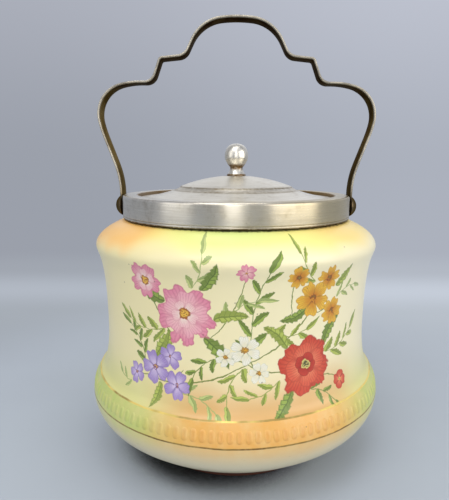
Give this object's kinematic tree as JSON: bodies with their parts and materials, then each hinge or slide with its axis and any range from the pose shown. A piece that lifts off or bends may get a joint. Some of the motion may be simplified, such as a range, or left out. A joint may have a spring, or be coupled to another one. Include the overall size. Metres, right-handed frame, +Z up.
{
  "type": "biscuit jar",
  "caption": "Waisted earthenware biscuit jar with a plated rim collar, a lift-off domed lid with an egg-shaped finial and a swinging bow-shaped bail handle.",
  "frame": {"origin": "on the table, on the jar's axis, under the foot ring", "axes": "+Z up along the jar's axis; the rivets of the bail lie along X; the front, with the main decoration, faces -Y"},
  "size_m": [0.15, 0.15, 0.2153],
  "materials": {
    "glazed_earthenware": "soft satin glaze, ivory ground with blushes of yellow, orange and green, gilt lines",
    "plaster": "matt",
    "satin_plate": "satin, fine brushing round the axis",
    "worn_plate": "dull, slightly tarnished",
    "bright_plate": "polished",
    "tarnished_plate": "tarnished brown-grey with worn bright edges",
    "nut_brass": "dull brass"
  },
  "bodies": {
    "jar": {"jar_body": "glazed_earthenware", "collar_bedding": "plaster", "collar_band": "satin_plate", "pivot_boss_left": "worn_plate", "pivot_boss_right": "worn_plate", "pivot_rivet_left": "bright_plate", "pivot_rivet_right": "bright_plate"},
    "bail": {"bail_handle": "tarnished_plate"},
    "lid": {"lid_shell": "satin_plate", "lid_bezel": "worn_plate", "finial": "bright_plate", "finial_washer": "worn_plate", "finial_nut": "nut_brass"}
  },
  "joints": [
    {"name": "bail_swing", "type": "hinge", "parent": "jar", "child": "bail", "pos_m": [0, 0, 0.124], "axis": [1, 0, 0], "range_deg": [-100, 100]},
    {"name": "lid_lift", "type": "slide", "parent": "jar", "child": "lid", "axis": [0, 0, 1], "range_m": [0, 0.045]}
  ]
}
